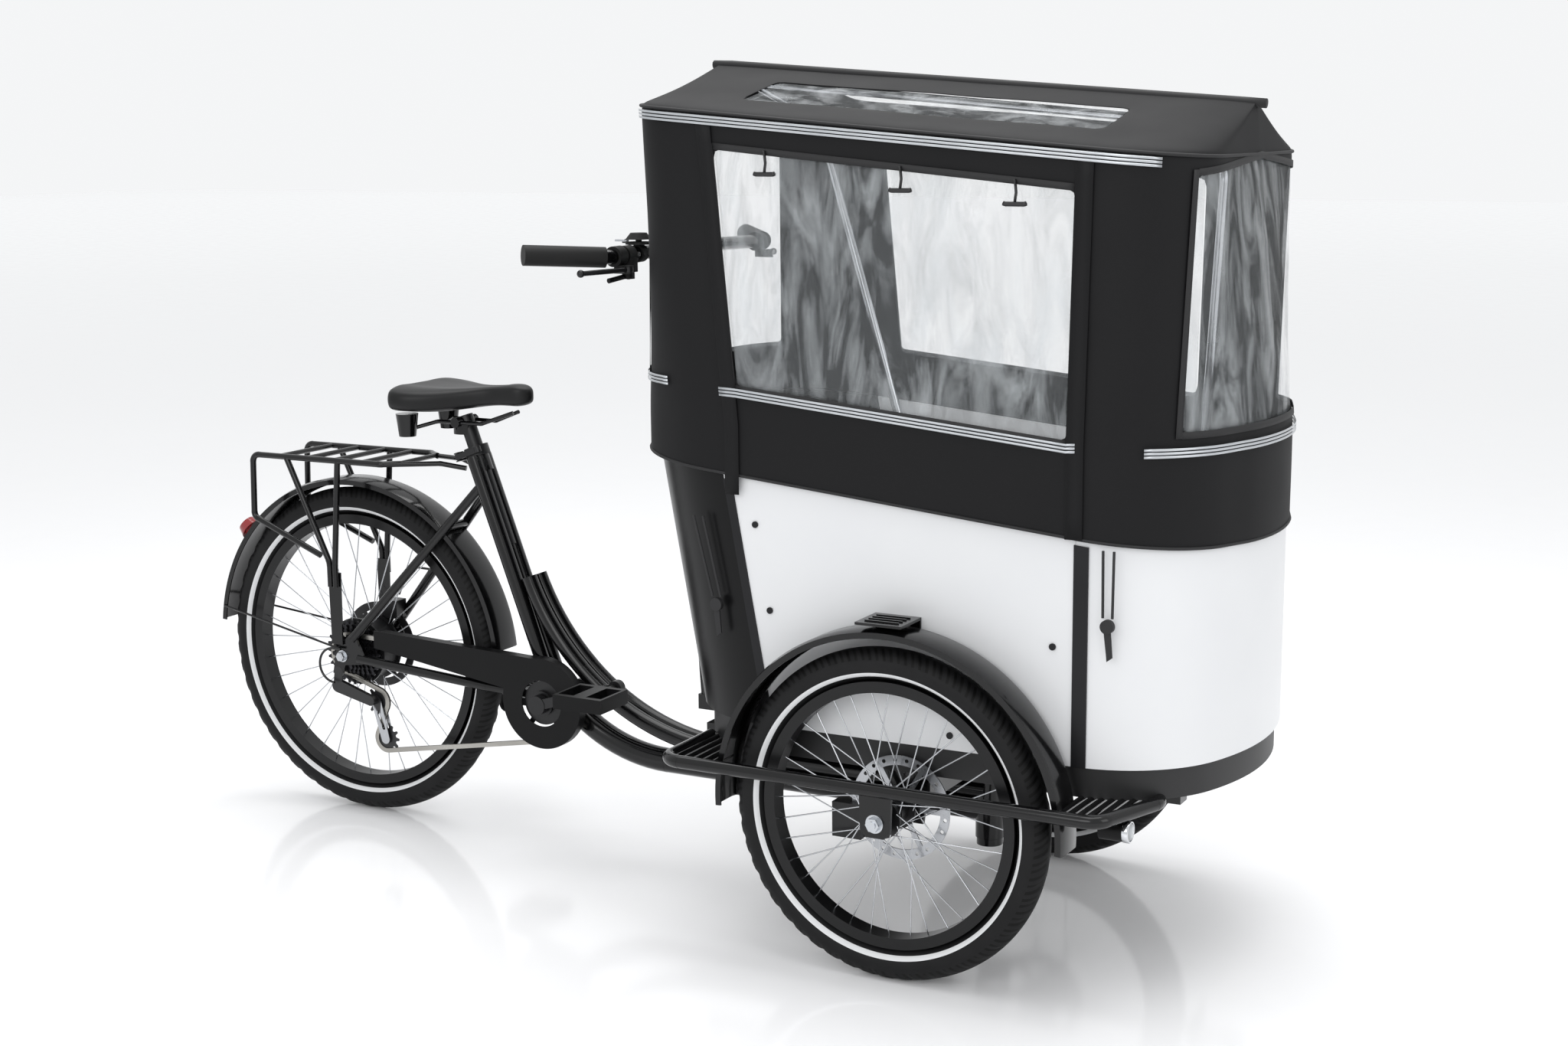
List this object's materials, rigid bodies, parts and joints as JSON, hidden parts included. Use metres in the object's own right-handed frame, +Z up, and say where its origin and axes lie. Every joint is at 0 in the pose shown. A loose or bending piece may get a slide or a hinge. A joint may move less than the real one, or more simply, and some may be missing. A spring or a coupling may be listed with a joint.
{
  "type": "cargo tricycle",
  "caption": "Front-loading cargo tricycle with a panelled family box under a fabric canopy on steering front wheels, and a rack over a driven rear wheel.",
  "frame": {"origin": "middle of the length and width, on the ground", "axes": "+X forward, +Y to the rider's left, +Z up"},
  "size_m": [2.024, 0.768, 1.348],
  "materials": {
    "frame_paint": "gloss black powder coat",
    "steel": "bright",
    "dark_steel": "blackened",
    "alloy": "polished",
    "black_alloy": "black anodised",
    "black_plastic": "moulded",
    "red_lens": "clear red lens",
    "cable_jacket": "smooth jacket",
    "saddle_skin": "vinyl, fine grain",
    "tyre": "moulded tread",
    "white_panel": "satin white composite",
    "black_panel": "satin black composite",
    "grey_trim": "satin",
    "wood": "varnished plywood",
    "cushion_fabric": "woven",
    "canopy_fabric": "coated woven polyester",
    "clear_film": "clear PVC film",
    "elastic": "braided elastic",
    "grip_rubber": "moulded"
  },
  "bodies": {
    "rear_frame": {"frame": "frame_paint", "bottom_bracket": "steel", "rear_axle": "steel", "rear_fender": "frame_paint", "tail_light": "red_lens", "rear_rack": "frame_paint", "chain_guard": "black_plastic", "chain": "steel", "derailleur": "alloy", "rear_caliper": "black_alloy", "rear_cables": "cable_jacket", "seat_clamp": "black_alloy"},
    "seat_lever": {"clamp_lever": "black_alloy"},
    "seat": {"seat_post": "black_alloy", "saddle_rails": "frame_paint", "saddle": "saddle_skin"},
    "cranks": {"crankset": "black_alloy"},
    "right_pedal": {"pedal_right": "black_plastic"},
    "left_pedal": {"pedal_left": "black_plastic"},
    "cogs": {"cassette": "dark_steel"},
    "upper_jockey": {"jockey_upper": "black_plastic"},
    "lower_jockey": {"jockey_lower": "black_plastic"},
    "rear_wheel": {"rear_tyre": "tyre", "rear_rim": "black_alloy", "rear_spokes": "steel", "rear_hub": "black_alloy"},
    "front_carriage": {"chassis": "frame_paint", "foot_bars": "frame_paint", "front_axles": "steel", "front_fenders": "frame_paint", "step_plates": "frame_paint", "headlights": "black_plastic", "front_calipers": "black_alloy", "side_panels": "white_panel", "front_panel": "white_panel", "rear_panel": "black_panel", "box_floor": "grey_trim", "panel_trim": "black_alloy", "bench": "wood", "seat_cushion": "cushion_fabric", "canopy": "canopy_fabric", "canopy_windows": "clear_film", "canopy_poles": "steel", "tension_cords": "elastic", "handlebar": "frame_paint", "hand_controls": "grip_rubber"},
    "right_front_wheel": {"front_tyre_right": "tyre", "front_rim_right": "black_alloy", "front_spokes_right": "steel", "front_hub_right": "black_alloy", "front_disc_right": "steel"},
    "left_front_wheel": {"front_tyre_left": "tyre", "front_rim_left": "black_alloy", "front_spokes_left": "steel", "front_hub_left": "black_alloy", "front_disc_left": "steel"},
    "right_brake_lever": {"brake_lever_right": "black_alloy"},
    "left_brake_lever": {"brake_lever_left": "black_alloy"},
    "gear_lever": {"shift_lever": "black_plastic"},
    "bell_striker": {"bell_lever": "steel"}
  },
  "joints": [
    {"name": "steering", "type": "hinge", "parent": "rear_frame", "child": "front_carriage", "pos_m": [0.55901, 0, 0.18], "axis": [0, 0, 1], "range_deg": [-35, 35]},
    {"name": "rear_wheel_spin", "type": "hinge", "parent": "rear_frame", "child": "rear_wheel", "pos_m": [-0.69099, 0, 0.303], "axis": [0, 1, 0], "continuous": true},
    {"name": "front_right_wheel_spin", "type": "hinge", "parent": "front_carriage", "child": "right_front_wheel", "pos_m": [0.53501, -0.3205, 0.2525], "axis": [0, 1, 0], "continuous": true},
    {"name": "front_left_wheel_spin", "type": "hinge", "parent": "front_carriage", "child": "left_front_wheel", "pos_m": [0.53501, 0.3205, 0.2525], "axis": [0, 1, 0], "continuous": true},
    {"name": "crank_spin", "type": "hinge", "parent": "rear_frame", "child": "cranks", "pos_m": [-0.26199, 0, 0.262], "axis": [0, 1, 0], "continuous": true},
    {"name": "cassette_spin", "type": "hinge", "parent": "rear_frame", "child": "cogs", "pos_m": [-0.69099, -0.048, 0.303], "axis": [0, 1, 0], "continuous": true},
    {"name": "upper_jockey_spin", "type": "hinge", "parent": "rear_frame", "child": "upper_jockey", "pos_m": [-0.62899, -0.048, 0.221], "axis": [0, 1, 0], "continuous": true},
    {"name": "lower_jockey_spin", "type": "hinge", "parent": "rear_frame", "child": "lower_jockey", "pos_m": [-0.61099, -0.048, 0.153], "axis": [0, 1, 0], "continuous": true},
    {"name": "right_pedal_spin", "type": "hinge", "parent": "cranks", "child": "right_pedal", "pos_m": [-0.09942, -0.15, 0.3117], "axis": [0, 1, 0], "continuous": true},
    {"name": "left_pedal_spin", "type": "hinge", "parent": "cranks", "child": "left_pedal", "pos_m": [-0.42456, 0.15, 0.2123], "axis": [0, 1, 0], "continuous": true},
    {"name": "seat_height", "type": "slide", "parent": "rear_frame", "child": "seat", "axis": [-0.3537, 0, 0.9353], "range_m": [-0.02, 0.12]},
    {"name": "seat_lever_swing", "type": "hinge", "parent": "rear_frame", "child": "seat_lever", "pos_m": [-0.45035, -0.019, 0.67807], "axis": [-0.3537, 0, 0.9353], "range_deg": [-115, 0]},
    {"name": "right_brake_pull", "type": "hinge", "parent": "front_carriage", "child": "right_brake_lever", "pos_m": [0.04246, -0.22603, 1.03252], "axis": [0, 0, 1], "range_deg": [-14, 0], "stiffness_Nm_per_rad": 2},
    {"name": "left_brake_pull", "type": "hinge", "parent": "front_carriage", "child": "left_brake_lever", "pos_m": [0.04246, 0.22603, 1.03252], "axis": [0, 0, 1], "range_deg": [0, 14], "stiffness_Nm_per_rad": 2},
    {"name": "gear_lever_push", "type": "hinge", "parent": "front_carriage", "child": "gear_lever", "pos_m": [0.0238, -0.19807, 1.02119], "axis": [0, 0, 1], "range_deg": [-25, 0], "stiffness_Nm_per_rad": 0.5},
    {"name": "bell_ring", "type": "hinge", "parent": "front_carriage", "child": "bell_striker", "pos_m": [0.00141, -0.16812, 1.073], "axis": [0, 0, 1], "range_deg": [0, 25], "stiffness_Nm_per_rad": 0.1}
  ],
  "couplings": [
    {"joint": "cassette_spin", "follows": "crank_spin", "ratio": 1.8889},
    {"joint": "upper_jockey_spin", "follows": "crank_spin", "ratio": -3.0909},
    {"joint": "lower_jockey_spin", "follows": "crank_spin", "ratio": 3.0909}
  ]
}
